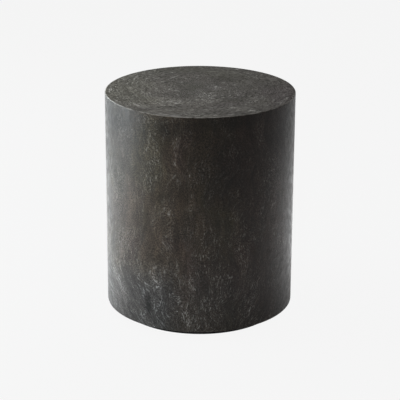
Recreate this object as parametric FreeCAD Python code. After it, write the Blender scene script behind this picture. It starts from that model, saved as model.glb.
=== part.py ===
"""Drum accent table: a hollow timber-faced drum standing on a recessed black plinth.

The drum is framed as a cabinet maker frames one. Four upright posts are halved into
the outer edge of two ring ribs, and their outer faces are planed to the curve of the
drum. Two layers of bent plywood wrap round this frame and round the boards at its two
ends. Their butt seams are staggered, and the inner one is closed over a post. One
sheet of sawn timber wraps the plywood and is mitred to the timber disc that covers
the top, so that their joint runs along the crest of the eased rim. A screwed-on
plinth with four nylon glides lifts the drum off the floor.

Sizes are in millimetres. The origin is the centre of the footprint on the floor,
+Z is up, and the front faces -Y, so that the upright seam of the facing is at the
back, on +Y.
"""
import FreeCAD
import Part

import math
import os

# Overall size
DRUM_DIAMETER = 380.0
TOTAL_HEIGHT = 460.0

# Timber facing of the sides and of the top
SIDE_FACING_THICKNESS = 3.0
SIDE_SEAM_GAP = 0.3
TOP_FACING_THICKNESS = 3.0
RIM_ROUND = 2.0
LOWER_EDGE_ROUND = 1.5

# Two layers of bent plywood, each with one butt seam, and the glue between curved layers
PLY_THICKNESS = 6.0
PLY_SEAM_GAP = 1.0
GLUE_LINE = 0.1

# Boards that close the two ends of the drum
TOP_BOARD_THICKNESS = 22.0
BASE_BOARD_THICKNESS = 18.0
BASE_REBATE_THICKNESS = 6.0

# Ring ribs, and the posts that are halved into their outer edge
RIB_THICKNESS = 15.0
RIB_WIDTH = 60.0
POST_WIDTH = 36.0
POST_DEPTH = 30.0
POST_EDGE_CHAMFER = 1.5
LAP_CLEARANCE = 0.2

# Recessed plinth
PLINTH_INSET = 24.0
PLINTH_THICKNESS = 15.0
PLINTH_EDGE_CHAMFER = 1.0

# Nylon glides, each let into a pocket under the plinth
GLIDE_DIAMETER = 24.0
GLIDE_THICKNESS = 5.0
GLIDE_EDGE_ROUND = 1.5
GLIDE_POCKET_DEPTH = 2.0
GLIDE_POCKET_CLEARANCE = 0.3
GLIDE_EDGE_MARGIN = 14.0
GLIDE_HEAD_RECESS = 1.2

# Countersunk wood screws
BOARD_SCREW_SHANK = 4.0
BOARD_SCREW_HEAD = 8.0
BOARD_SCREW_LENGTH = 50.0
PLINTH_SCREW_SHANK = 4.0
PLINTH_SCREW_HEAD = 8.0
PLINTH_SCREW_LENGTH = 30.0
PLINTH_SCREW_MARGIN = 36.0
GLIDE_SCREW_SHANK = 3.0
GLIDE_SCREW_HEAD = 6.0
GLIDE_SCREW_LENGTH = 14.0
SCREW_TIP_LENGTH = 5.0
SCREW_HOLE_CLEARANCE = 0.2

# How far a cutting shape runs past the face that it cuts
OVERRUN = 1.0

# Shares of the sizes that they follow, and places round the drum in degrees
RIB_HEIGHT_SHARES = (1 / 3, 2 / 3)
LAP_DEPTH_SHARE = 0.5
FULL_TURN = 360.0
MITRE_ANGLE = 45.0
CORNERS = ("front_right", "back_right", "back_left", "front_left")
FIRST_CORNER_ANGLE = -45.0
PLINTH_SCREW_ANGLES = (0.0, 90.0, 180.0, 270.0)
SIDE_SEAM_ANGLE = 90.0
OUTER_PLY_SEAM_ANGLE = 330.0

# The posts and the glides stand at the corners, and the inner ply is closed over a post
quarter_turn = FULL_TURN / len(CORNERS)
corner_angles = {name: FIRST_CORNER_ANGLE + i * quarter_turn for i, name in enumerate(CORNERS)}
inner_ply_seam_angle = corner_angles["front_left"]

# Radii, worked inwards from the outside of the drum
drum_radius = DRUM_DIAMETER / 2
facing_inner_radius = drum_radius - SIDE_FACING_THICKNESS
outer_ply_radius = facing_inner_radius - GLUE_LINE
inner_ply_radius = outer_ply_radius - PLY_THICKNESS - GLUE_LINE
frame_radius = inner_ply_radius - PLY_THICKNESS - GLUE_LINE
rib_inner_radius = frame_radius - RIB_WIDTH
post_inner = frame_radius - POST_DEPTH
post_middle = frame_radius - POST_DEPTH / 2
lap_plane = frame_radius - POST_DEPTH * LAP_DEPTH_SHARE
plinth_radius = drum_radius - PLINTH_INSET
glide_radius = GLIDE_DIAMETER / 2
glide_circle = plinth_radius - GLIDE_EDGE_MARGIN - glide_radius
plinth_screw_circle = plinth_radius - PLINTH_SCREW_MARGIN

# Heights, worked up from the floor and down from the top
plinth_bottom = GLIDE_THICKNESS - GLIDE_POCKET_DEPTH
drum_bottom = plinth_bottom + PLINTH_THICKNESS
rebate_top = drum_bottom + BASE_REBATE_THICKNESS
base_board_top = drum_bottom + BASE_BOARD_THICKNESS
facing_bottom = TOTAL_HEIGHT - TOP_FACING_THICKNESS
top_board_bottom = facing_bottom - TOP_BOARD_THICKNESS
cavity_height = top_board_bottom - base_board_top

# The eased rim: the centre of its round, and the crest where the mitre comes out
rim_round = min(RIM_ROUND, SIDE_FACING_THICKNESS, TOP_FACING_THICKNESS)
rim_centre_radius = drum_radius - rim_round
rim_centre_height = TOTAL_HEIGHT - rim_round
rim_crest_radius = rim_centre_radius + rim_round * math.cos(math.radians(MITRE_ANGLE))
rim_crest_height = rim_centre_height + rim_round * math.sin(math.radians(MITRE_ANGLE))

AXIS_FOOT = FreeCAD.Vector(0, 0, 0)
UP = FreeCAD.Vector(0, 0, 1)
DOWN = FreeCAD.Vector(0, 0, -1)
SIDEWAYS = FreeCAD.Vector(1, 0, 0)


class Outline:
    """A closed outline in the plane of radius and height, drawn point by point."""

    def __init__(self, radius, height):
        self.first = FreeCAD.Vector(radius, 0, height)
        self.here = self.first
        self.edges = []

    def line(self, radius, height):
        """Draws a straight edge to a point, or none where the outline is there already."""
        there = FreeCAD.Vector(radius, 0, height)
        if self.here.distanceToPoint(there) > Part.Precision.confusion():
            self.edges.append(Part.LineSegment(self.here, there).toShape())
            self.here = there
        return self

    def round(self, centre_radius, centre_height, radius, height):
        """Draws an arc of under half a turn about a centre, to a point."""
        centre = FreeCAD.Vector(centre_radius, 0, centre_height)
        there = FreeCAD.Vector(radius, 0, height)
        arm = self.here - centre
        bisector = arm + (there - centre)
        middle = centre + bisector.normalize() * arm.Length
        self.edges.append(Part.Arc(self.here, middle, there).toShape())
        self.here = there
        return self

    def turned(self, sweep=FULL_TURN):
        """Closes the outline and turns it about the upright axis into a solid."""
        self.line(self.first.x, self.first.z)
        face = Part.Face(Part.Wire(self.edges))
        return face.revolve(AXIS_FOOT, UP, sweep)


def plain_disc(radius, bottom, top):
    """A disc between two heights."""
    return Part.makeCylinder(radius, top - bottom, FreeCAD.Vector(0, 0, bottom))


def block(inner, outer, width, bottom, top):
    """A block centred on the X axis, between two distances from the upright axis."""
    corner = FreeCAD.Vector(inner, -width / 2, bottom)
    return Part.makeBox(outer - inner, width, top - bottom, corner)


def turned_about(shape, angle):
    """A copy of a shape, turned about the upright axis of the drum."""
    copy = shape.copy()
    copy.rotate(AXIS_FOOT, UP, angle)
    return copy


def set_round(shape, radius, angles):
    """Copies of a shape that stands on the axis, set out on a circle."""
    moved = shape.copy()
    moved.translate(FreeCAD.Vector(radius, 0, 0))
    return [turned_about(moved, angle) for angle in angles]


def driven(solid, height, direction):
    """A screw or its hole, drawn pointing down from the origin, set at a height."""
    if direction.z > 0:
        solid.rotate(AXIS_FOOT, SIDEWAYS, FULL_TURN / 2)
    solid.translate(FreeCAD.Vector(0, 0, height))
    return solid


def screw(shank, head, length, height, direction):
    """A countersunk screw on the axis, with its head face at a height.

    The head is a right-angled cone, so its depth is its overhang past the shank.
    """
    shank_radius = shank / 2
    head_radius = head / 2
    outline = Outline(0, 0).line(head_radius, 0).line(shank_radius, shank_radius - head_radius)
    outline.line(shank_radius, SCREW_TIP_LENGTH - length).line(0, -length)
    return driven(outline.turned(), height, direction)


def screw_hole(shank, head, depth, height, direction):
    """The hole that a countersunk screw passes through, from its head face inwards.

    The shank has clearance, and the countersink fits the head face to face.
    """
    hole_radius = shank / 2 + SCREW_HOLE_CLEARANCE
    head_radius = head / 2
    end = -depth - OVERRUN
    outline = Outline(0, OVERRUN).line(head_radius, OVERRUN).line(head_radius, 0)
    outline.line(hole_radius, hole_radius - head_radius).line(hole_radius, end).line(0, end)
    return driven(outline.turned(), height, direction)


def wrap(outline, outer_radius, gap, seam_angle):
    """A sheet wrapped round the drum, whose two ends meet at a seam with a narrow gap."""
    gap_angle = math.degrees(gap / outer_radius)
    sheet = outline.turned(FULL_TURN - gap_angle)
    return turned_about(sheet, seam_angle + gap_angle / 2)


def make_top_facing():
    """The timber disc that covers the top, mitred under its half of the eased rim."""
    outline = Outline(0, facing_bottom).line(facing_inner_radius, facing_bottom)
    outline.line(rim_crest_radius, rim_crest_height)
    outline.round(rim_centre_radius, rim_centre_height, rim_centre_radius, TOTAL_HEIGHT)
    return outline.line(0, TOTAL_HEIGHT).turned()


def make_side_facing():
    """The sheet of timber round the sides, butted at the back, with the rest of the rim."""
    foot = min(LOWER_EDGE_ROUND, SIDE_FACING_THICKNESS)
    outline = Outline(facing_inner_radius, facing_bottom).line(facing_inner_radius, drum_bottom)
    outline.line(drum_radius - foot, drum_bottom)
    outline.round(drum_radius - foot, drum_bottom + foot, drum_radius, drum_bottom + foot)
    outline.line(drum_radius, rim_centre_height)
    outline.round(rim_centre_radius, rim_centre_height, rim_crest_radius, rim_crest_height)
    return wrap(outline, drum_radius, SIDE_SEAM_GAP, SIDE_SEAM_ANGLE)


def make_ply(outer, seam_angle):
    """One bent layer of plywood, from the base board's rebate up to the top facing."""
    inner = outer - PLY_THICKNESS
    outline = Outline(inner, rebate_top).line(outer, rebate_top)
    outline.line(outer, facing_bottom).line(inner, facing_bottom)
    return wrap(outline, outer, PLY_SEAM_GAP, seam_angle)


def board_screws(height, direction):
    """The screws that hold a board onto the ends of the posts."""
    one = screw(BOARD_SCREW_SHANK, BOARD_SCREW_HEAD, BOARD_SCREW_LENGTH, height, direction)
    return set_round(one, post_middle, corner_angles.values())


def board_screw_holes(depth, height, direction):
    """The holes for those screws through a board of the given depth."""
    one = screw_hole(BOARD_SCREW_SHANK, BOARD_SCREW_HEAD, depth, height, direction)
    return set_round(one, post_middle, corner_angles.values())


def plinth_screws():
    """The screws that hold the plinth up against the base board."""
    one = screw(PLINTH_SCREW_SHANK, PLINTH_SCREW_HEAD, PLINTH_SCREW_LENGTH, plinth_bottom, UP)
    return set_round(one, plinth_screw_circle, PLINTH_SCREW_ANGLES)


def glide_screws():
    """The screw in the middle of each glide, its head clear of the floor."""
    one = screw(GLIDE_SCREW_SHANK, GLIDE_SCREW_HEAD, GLIDE_SCREW_LENGTH, GLIDE_HEAD_RECESS, UP)
    return set_round(one, glide_circle, corner_angles.values())


def make_top_board():
    """The board under the top facing, screwed down onto the posts."""
    board = plain_disc(frame_radius, top_board_bottom, facing_bottom)
    return board.cut(board_screw_holes(TOP_BOARD_THICKNESS, facing_bottom, DOWN))


def make_base_board():
    """The board that closes the drum's foot, rebated so that the plywood lands on it.

    The plinth's screws bite into it, and so does a glide's screw longer than the plinth.
    """
    outline = Outline(0, drum_bottom).line(outer_ply_radius, drum_bottom)
    outline.line(outer_ply_radius, rebate_top).line(frame_radius, rebate_top)
    outline.line(frame_radius, base_board_top).line(0, base_board_top)
    holes = board_screw_holes(BASE_BOARD_THICKNESS, drum_bottom, UP)
    return outline.turned().cut(holes).cut(plinth_screws() + glide_screws())


def rib_bottom(share):
    """The height of a rib's lower face, from its place in the drum's cavity."""
    return base_board_top + cavity_height * share - RIB_THICKNESS / 2


def make_rib(share):
    """A ring rib with a slot in its outer edge for each post."""
    bottom = rib_bottom(share)
    top = bottom + RIB_THICKNESS
    ring = plain_disc(frame_radius, bottom, top)
    ring = ring.cut(plain_disc(rib_inner_radius, bottom - OVERRUN, top + OVERRUN))
    slot_width = POST_WIDTH + 2 * LAP_CLEARANCE
    slot = block(lap_plane, frame_radius + OVERRUN, slot_width, bottom - OVERRUN, top + OVERRUN)
    return ring.cut([turned_about(slot, angle) for angle in corner_angles.values()])


def make_post(angle):
    """An upright post: planed to the drum's curve outside, and notched inside for the ribs."""
    post = block(post_inner, frame_radius, POST_WIDTH, base_board_top, top_board_bottom)
    inner_edges = [
        edge
        for edge in post.Edges
        if edge.CenterOfMass.x < post_middle and edge.Length > POST_WIDTH
    ]
    post = post.makeChamfer(POST_EDGE_CHAMFER, inner_edges)
    post = post.common(plain_disc(frame_radius, base_board_top, top_board_bottom))
    for share in RIB_HEIGHT_SHARES:
        bottom = rib_bottom(share) - LAP_CLEARANCE
        top = rib_bottom(share) + RIB_THICKNESS + LAP_CLEARANCE
        cut_width = POST_WIDTH + 2 * OVERRUN
        post = post.cut(block(post_inner - OVERRUN, lap_plane, cut_width, bottom, top))
    post = turned_about(post, angle)
    return post.cut(board_screws(facing_bottom, DOWN) + board_screws(drum_bottom, UP))


def make_plinth():
    """The recessed plinth, drilled for its screws and pocketed for the glides."""
    edge = PLINTH_EDGE_CHAMFER
    outline = Outline(0, plinth_bottom).line(plinth_radius - edge, plinth_bottom)
    outline.line(plinth_radius, plinth_bottom + edge).line(plinth_radius, drum_bottom)
    plinth = outline.line(0, drum_bottom).turned()
    pocket_radius = glide_radius + GLIDE_POCKET_CLEARANCE
    pocket = plain_disc(pocket_radius, plinth_bottom - OVERRUN, GLIDE_THICKNESS)
    hole = screw_hole(
        PLINTH_SCREW_SHANK, PLINTH_SCREW_HEAD, PLINTH_THICKNESS, plinth_bottom, UP
    )
    plinth = plinth.cut(set_round(pocket, glide_circle, corner_angles.values()))
    plinth = plinth.cut(set_round(hole, plinth_screw_circle, PLINTH_SCREW_ANGLES))
    return plinth.cut(glide_screws())


def make_glide(angle):
    """A round nylon glide with its lower edge rounded and a hole for its screw."""
    edge = min(GLIDE_EDGE_ROUND, GLIDE_THICKNESS - GLIDE_POCKET_DEPTH)
    outline = Outline(0, 0).line(glide_radius - edge, 0)
    outline.round(glide_radius - edge, edge, glide_radius, edge)
    outline.line(glide_radius, GLIDE_THICKNESS)
    glide = outline.line(0, GLIDE_THICKNESS).turned()
    hole = screw_hole(
        GLIDE_SCREW_SHANK, GLIDE_SCREW_HEAD, GLIDE_THICKNESS, GLIDE_HEAD_RECESS, UP
    )
    recess = plain_disc(GLIDE_SCREW_HEAD / 2, -OVERRUN, GLIDE_HEAD_RECESS)
    return set_round(glide.cut([hole, recess]), glide_circle, [angle])[0]


def make_parts():
    """Every piece of the table, by name."""
    parts = {
        "top_facing": make_top_facing(),
        "side_facing": make_side_facing(),
        "outer_ply": make_ply(outer_ply_radius, OUTER_PLY_SEAM_ANGLE),
        "inner_ply": make_ply(inner_ply_radius, inner_ply_seam_angle),
        "top_board": make_top_board(),
        "base_board": make_base_board(),
        "lower_rib": make_rib(RIB_HEIGHT_SHARES[0]),
        "upper_rib": make_rib(RIB_HEIGHT_SHARES[1]),
        "plinth": make_plinth(),
        "top_screws": Part.makeCompound(board_screws(facing_bottom, DOWN)),
        "base_screws": Part.makeCompound(board_screws(drum_bottom, UP)),
        "plinth_screws": Part.makeCompound(plinth_screws()),
        "glide_screws": Part.makeCompound(glide_screws()),
    }
    for place, angle in corner_angles.items():
        parts["post_" + place] = make_post(angle)
        parts["glide_" + place] = make_glide(angle)
    return parts


def main():
    """Writes one STEP file for each piece."""
    os.makedirs("parts", exist_ok=True)
    for name, shape in make_parts().items():
        print(f"{name}: {len(shape.Solids)} solid, {shape.Volume:.0f} mm3, valid {shape.isValid()}")
        shape.exportStep(f"parts/{name}.step")


main()
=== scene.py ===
import logging
import math
from abc import ABC, abstractmethod
from collections.abc import Iterable, Sequence
from dataclasses import dataclass, field
from enum import Enum

import bmesh
import bpy
from mathutils import Color, Matrix, Vector


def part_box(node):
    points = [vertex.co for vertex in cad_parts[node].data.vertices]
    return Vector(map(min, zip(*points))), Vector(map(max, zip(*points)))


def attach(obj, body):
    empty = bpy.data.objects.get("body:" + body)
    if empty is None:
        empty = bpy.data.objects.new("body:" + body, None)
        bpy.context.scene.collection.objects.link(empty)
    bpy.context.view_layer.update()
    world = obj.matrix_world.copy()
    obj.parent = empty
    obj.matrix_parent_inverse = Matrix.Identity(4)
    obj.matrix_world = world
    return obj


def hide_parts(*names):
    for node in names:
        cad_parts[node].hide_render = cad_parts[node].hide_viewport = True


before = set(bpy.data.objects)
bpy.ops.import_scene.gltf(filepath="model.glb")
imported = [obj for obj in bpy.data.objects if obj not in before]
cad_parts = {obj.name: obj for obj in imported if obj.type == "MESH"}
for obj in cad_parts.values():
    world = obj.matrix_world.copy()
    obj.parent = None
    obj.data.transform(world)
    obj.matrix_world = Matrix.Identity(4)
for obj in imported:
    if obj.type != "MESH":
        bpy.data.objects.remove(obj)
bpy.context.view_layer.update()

log = logging.getLogger("drum_table")

MM = 0.001
# Points closer than this become one
MERGED = 0.002 * MM
FULL_TURN = 360.0
FULL_LEVEL = 255.0
SHEET_MAP = "sheet"
CORNERS = {"front_right": -45.0, "back_right": 45.0, "back_left": 135.0, "front_left": 225.0}

Socket = bpy.types.NodeSocket
Pair = tuple[float, float]
Triple = tuple[float, float, float]
Colour = Triple

# Times this, a place keeps X and Y only
LEVEL_ONLY = (1.0, 1.0, 0.0)
# Times its seed, this is how far a noise pattern is shifted
SEED_WAY = (1.0, -1.0, 3.0)
# A spot fades between these two distances from its middle, in its own half widths
SPOT_FADE = (0.35, 1.25)


def srgb(red: float, green: float, blue: float) -> Colour:
    """Turns a display colour of 0 to 255 into the linear colour that a shader takes."""
    shown = Color([level / FULL_LEVEL for level in (red, green, blue)])
    return tuple(shown.from_srgb_to_scene_linear())


class Grain(Enum):
    """How the grain of a timber face runs."""

    UPRIGHT = "along the height of the wrapped sheet"
    RINGS = "round the pith, as on the end of a log"


@dataclass(frozen=True)
class Noise:
    """A noise pattern that may be stretched. Its values run from about 0.25 to 0.75.

    Attributes:
        per_metre: How many times a metre it varies, along each coordinate.
        detail: How many finer layers are added.
        rough: How strong the finer layers are.
        seed: A shift that gives another pattern of the same kind.
        band: The two values between which it is eased.
    """

    per_metre: Triple
    detail: float = 2.0
    rough: float = 0.5
    seed: float = 0.0
    band: Pair = (0.3, 0.7)


@dataclass(frozen=True)
class Drift:
    """A shift of coordinates, so that what follows them wanders.

    Attributes:
        pattern: The noise that it follows.
        reach: Its full range, along each coordinate.
    """

    pattern: Noise
    reach: Triple


@dataclass(frozen=True)
class Spot:
    """A soft oval spot on a face, in metres and degrees.

    Attributes:
        across: Where its middle is: round from the front to the right on the wall, along X on the top.
        along: Where its middle is: the height on the wall, along Y on the top.
        wide: Its half width.
        tall: Its half height.
        lean: How far its upper end leans to the right.
        strength: How strongly it shows.
    """

    across: float
    along: float
    wide: float
    tall: float
    lean: float = 0.0
    strength: float = 1.0


class Graph:
    """Lays out the shader nodes of a material or the world, one short call to a node."""

    def __init__(self, owner: bpy.types.Material | bpy.types.World, output: str) -> None:
        """Empties the owner's node tree and adds its output.

        Args:
            owner: The material or world.
            output: The Blender type of its output node, without the leading ShaderNode.
        """
        self.owner = owner
        owner.use_nodes = True
        self.tree = owner.node_tree
        self.tree.nodes.clear()
        self.output = self.node(output)

    @classmethod
    def of_material(cls, name: str) -> "Graph":
        """Starts a new material."""
        return cls(bpy.data.materials.new(name), "OutputMaterial")

    @classmethod
    def of_world(cls, name: str) -> "Graph":
        """Starts a new world."""
        return cls(bpy.data.worlds.new(name), "OutputWorld")

    def node(self, kind: str, inputs: dict | None = None, **settings) -> bpy.types.ShaderNode:
        """Adds a node.

        Args:
            kind: The node's Blender type, without the leading ShaderNode.
            inputs: Sockets or plain values by input name or number.
            **settings: The node's own properties.

        Returns:
            The new node.
        """
        made = self.tree.nodes.new("ShaderNode" + kind)
        for name, value in settings.items():
            setattr(made, name, value)
        for name, value in (inputs or {}).items():
            self.feed(made.inputs[name], value)
        return made

    def feed(self, socket: Socket, value: Socket | float | Sequence[float]) -> None:
        """Links a socket to an input, or sets a plain value on it.

        Args:
            socket: The input.
            value: What it gets.
        """
        if isinstance(value, Socket):
            self.tree.links.new(value, socket)
        else:
            socket.default_value = value

    def place(self) -> Socket:
        """Returns the place on the piece, in metres."""
        return self.node("TexCoord").outputs["Object"]

    def math(self, operation: str, *values: Socket | float) -> Socket:
        """Returns the result of a sum on one to three values."""
        return self.node("Math", dict(enumerate(values)), operation=operation).outputs[0]

    def vector_math(self, operation: str, *vectors: Socket | Sequence[float]) -> Socket:
        """Returns the vector that a sum on vectors gives."""
        return self.node("VectorMath", dict(enumerate(vectors)), operation=operation).outputs[0]

    def scaled(self, vector: Socket, factor: Socket | float) -> Socket:
        """Returns a vector times a value."""
        return self.node("VectorMath", {0: vector, "Scale": factor}, operation="SCALE").outputs[0]

    def length(self, vector: Socket) -> Socket:
        """Returns the length of a vector."""
        return self.node("VectorMath", {0: vector}, operation="LENGTH").outputs["Value"]

    def parts(self, vector: Socket) -> list[Socket]:
        """Returns the three parts of a vector."""
        return list(self.node("SeparateXYZ", {0: vector}).outputs)

    def vector(self, *values: Socket | float) -> Socket:
        """Returns a vector made of up to three parts."""
        return self.node("CombineXYZ", dict(enumerate(values))).outputs[0]

    def step(
        self,
        value: Socket,
        low: float,
        high: float,
        to_low: Socket | float = 0.0,
        to_high: Socket | float = 1.0,
    ) -> Socket:
        """Eases a value from one level to another between two thresholds.

        Args:
            value: The value to read.
            low: The threshold where the result starts to change.
            high: The threshold where it stops.
            to_low: The result at the first threshold.
            to_high: The result at the second.

        Returns:
            The eased value.
        """
        limits = {"Value": value, "From Min": low, "From Max": high, "To Min": to_low, "To Max": to_high}
        return self.node("MapRange", limits, interpolation_type="SMOOTHSTEP").outputs["Result"]

    def _noise_node(self, where: Socket, pattern: Noise) -> bpy.types.ShaderNode:
        """Adds the node of a noise pattern.

        Args:
            where: The pattern's coordinates, in metres.
            pattern: The pattern.

        Returns:
            The node.
        """
        shift = tuple(pattern.seed * way for way in SEED_WAY)
        placed = self.vector_math("MULTIPLY_ADD", where, pattern.per_metre, shift)
        inputs = {"Vector": placed, "Scale": 1.0, "Detail": pattern.detail, "Roughness": pattern.rough}
        return self.node("TexNoise", inputs)

    def noise(self, where: Socket, pattern: Noise) -> Socket:
        """Returns the plain value of a noise pattern."""
        return self._noise_node(where, pattern).outputs["Fac"]

    def eased(self, where: Socket, pattern: Noise, to_low: float = 0.0, to_high: float = 1.0) -> Socket:
        """Returns a noise pattern that is eased over its band, from one level to another."""
        return self.step(self.noise(where, pattern), *pattern.band, to_low, to_high)

    def wander(self, where: Socket, drift: Drift) -> Socket:
        """Shifts coordinates about.

        Args:
            where: The coordinates, in metres.
            drift: The shift.

        Returns:
            The shifted coordinates.
        """
        shift = self._noise_node(where, drift.pattern).outputs["Color"]
        back = tuple(-value / 2 for value in drift.reach)
        return self.vector_math("ADD", where, self.vector_math("MULTIPLY_ADD", shift, drift.reach, back))

    def spots(self, where: Socket, spots: Sequence[Spot]) -> Socket:
        """Adds up soft oval spots.

        Args:
            where: The coordinates, in metres.
            spots: The spots.

        Returns:
            Each spot's strength in its middle, easing to 0 around it.
        """
        total: Socket | float = 0.0
        for spot in spots:
            inputs = {
                "Vector": where,
                "Location": (spot.across, spot.along, 0.0),
                "Rotation": (0.0, 0.0, -math.radians(spot.lean)),
                "Scale": (spot.wide, spot.tall, 1.0),
            }
            local = self.node("Mapping", inputs, vector_type="TEXTURE").outputs[0]
            faded = self.step(self.length(local), *SPOT_FADE, spot.strength, 0.0)
            total = self.math("ADD", total, faded)
        return total

    def mix(self, share: Socket | float, first: Socket | Colour, second: Socket | Colour) -> Socket:
        """Mixes two colours.

        Args:
            share: How much of the second colour there is.
            first: The first colour.
            second: The second colour.

        Returns:
            The mixed colour.
        """
        made = self.node("Mix", data_type="RGBA")
        sockets = {socket.identifier: socket for socket in made.inputs}
        self.feed(sockets["Factor_Float"], share)
        for name, colour in (("A_Color", first), ("B_Color", second)):
            self.feed(sockets[name], colour if isinstance(colour, Socket) else (*colour, 1.0))
        return next(socket for socket in made.outputs if socket.identifier == "Result_Color")

    def bump(self, height: Socket, strength: float, distance: float) -> Socket:
        """Returns the surface normal that a height pattern gives."""
        return self.node("Bump", {"Height": height, "Strength": strength, "Distance": distance}).outputs[0]

    def seen(self) -> Socket:
        """Tells the rays that show the studio's own colour.

        Returns:
            1 for a ray from the camera or off a glossy or clear surface, and otherwise 0.
        """
        path = self.node("LightPath").outputs
        glossy = self.math("MAXIMUM", path["Is Camera Ray"], path["Is Glossy Ray"])
        return self.math("MAXIMUM", glossy, path["Is Transmission Ray"])

    def finish(self, shader: bpy.types.ShaderNode) -> bpy.types.Material | bpy.types.World:
        """Links the last shader to the output and returns the material or world."""
        self.tree.links.new(shader.outputs[0], self.output.inputs["Surface"])
        return self.owner


# Spots of the finish: where the lime crowds, where there is little of it, and where the face is
# darker, or lighter where the strength is below 0, partly as stain and partly as painted shade and painted
# light
WALL_FLECKS = (
    Spot(-0.062, 0.205, 0.012, 0.040, 6.0, 0.9),
    Spot(-0.050, 0.343, 0.006, 0.008, 0.0, 0.8),
    Spot(-0.094, 0.250, 0.010, 0.030, 0.0, 0.5),
    Spot(-0.090, 0.355, 0.040, 0.035, 25.0, 0.2),
    Spot(-0.165, 0.415, 0.050, 0.040, 0.0, 0.5),
    Spot(-0.067, 0.430, 0.003, 0.032, 10.0, 0.9),
    Spot(0.033, 0.215, 0.012, 0.028, 0.0, 0.6),
    Spot(0.083, 0.200, 0.008, 0.026, 22.0, 0.8),
    Spot(0.097, 0.164, 0.007, 0.014, -15.0, 0.6),
    Spot(-0.132, 0.132, 0.010, 0.022, -20.0, 0.4),
    Spot(-0.114, 0.093, 0.011, 0.007, 0.0, 0.7),
    Spot(-0.083, 0.120, 0.014, 0.020, -25.0, 0.3),
    Spot(-0.046, 0.153, 0.007, 0.020, 0.0, 0.6),
    Spot(-0.011, 0.124, 0.009, 0.016, -10.0, 0.9),
    Spot(0.058, 0.124, 0.009, 0.020, 0.0, 0.7),
    Spot(0.011, 0.080, 0.015, 0.026, 0.0, 1.3),
    Spot(-0.006, 0.042, 0.014, 0.022, 10.0, 0.7),
    Spot(0.042, 0.085, 0.007, 0.020, 12.0, 0.6),
    Spot(-0.034, 0.062, 0.017, 0.048, -30.0, 1.2),
    Spot(0.030, 0.040, 0.016, 0.024, 15.0, 0.6),
    Spot(-0.080, 0.055, 0.014, 0.040, -8.0, 0.45),
    Spot(-0.120, 0.038, 0.009, 0.018, 0.0, 0.6),
    Spot(0.106, 0.064, 0.010, 0.034, 35.0, 1.0),
    Spot(0.186, 0.112, 0.012, 0.010, 0.0, 0.5),
    Spot(0.165, 0.260, 0.016, 0.012, -20.0, 0.5),
    Spot(0.085, 0.220, 0.110, 0.300, 0.0, 0.3),
)
WALL_CALM = (
    Spot(-0.180, 0.200, 0.080, 0.330, 0.0, 0.45),
    Spot(-0.033, 0.295, 0.020, 0.028, 0.0, 0.9),
    Spot(0.095, 0.320, 0.036, 0.080, 0.0, 0.4),
    Spot(-0.083, 0.166, 0.024, 0.014, 0.0, 1.0),
    Spot(0.150, 0.060, 0.036, 0.036, 0.0, 0.8),
    Spot(0.020, 0.380, 0.040, 0.040, 0.0, 0.5),
)
# The wall's darker and lighter places. The narrow upright streaks are heavier stain; the band under the rim,
# the upper corners and the darker right of the middle are painted shade; the lighter bands down the left and
# right sides are painted sheen.
WALL_STAIN_SHADE_AND_LIGHT = (
    Spot(0.065, 0.370, 0.090, 0.110, 0.0, 0.4),
    Spot(0.090, 0.220, 0.105, 0.280, 0.0, 0.26),
    Spot(-0.200, 0.440, 0.080, 0.050, 0.0, 0.3),
    Spot(0.060, 0.452, 0.110, 0.022, 0.0, 0.4),
    Spot(-0.046, 0.212, 0.007, 0.036, 0.0, 0.4),
    Spot(-0.055, 0.118, 0.006, 0.032, 4.0, 0.45),
    Spot(-0.106, 0.064, 0.008, 0.026, 0.0, 0.45),
    Spot(0.092, 0.075, 0.004, 0.032, 35.0, 0.4),
    Spot(0.118, 0.052, 0.004, 0.030, 38.0, 0.35),
    Spot(-0.190, 0.100, 0.036, 0.085, 0.0, -0.48),
    Spot(-0.148, 0.210, 0.024, 0.110, 0.0, -0.2),
    Spot(-0.240, 0.400, 0.060, 0.070, 0.0, 0.25),
    Spot(-0.250, 0.345, 0.036, 0.070, 0.0, 0.2),
    Spot(-0.180, 0.425, 0.030, 0.030, 0.0, 0.2),
    Spot(-0.135, 0.412, 0.042, 0.050, 0.0, 0.25),
    Spot(-0.055, 0.435, 0.050, 0.022, 0.0, 0.4),
    Spot(0.162, 0.410, 0.036, 0.050, 0.0, 0.3),
    Spot(0.190, 0.240, 0.040, 0.100, 0.0, -0.58),
    Spot(0.218, 0.415, 0.048, 0.046, 0.0, 0.36),
    Spot(0.200, 0.046, 0.046, 0.036, 0.0, 0.38),
    Spot(-0.098, 0.065, 0.032, 0.040, 0.0, 0.28),
)
TOP_FLECKS = (
    Spot(-0.049, -0.029, 0.003, 0.012, -35.0, 1.2),
    Spot(-0.007, 0.098, 0.003, 0.009, 0.0, 1.4),
    Spot(-0.007, 0.036, 0.008, 0.003, 0.0, 0.9),
    Spot(0.032, 0.020, 0.022, 0.016, 60.0, 1.1),
    Spot(0.014, -0.050, 0.028, 0.040, 0.0, 1.2),
    Spot(-0.058, 0.137, 0.002, 0.018, -25.0, 1.0),
    Spot(0.038, 0.146, 0.004, 0.008, 0.0, 0.9),
    Spot(0.115, -0.018, 0.004, 0.040, 4.0, 0.5),
    Spot(0.157, -0.010, 0.003, 0.034, 0.0, 0.5),
    Spot(0.000, -0.170, 0.090, 0.012, 0.0, 0.6),
    Spot(-0.060, -0.090, 0.034, 0.016, -20.0, 0.6),
    Spot(0.080, -0.130, 0.050, 0.014, 25.0, 0.5),
    Spot(0.002, 0.002, 0.016, 0.010, 0.0, 0.5),
)
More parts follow.
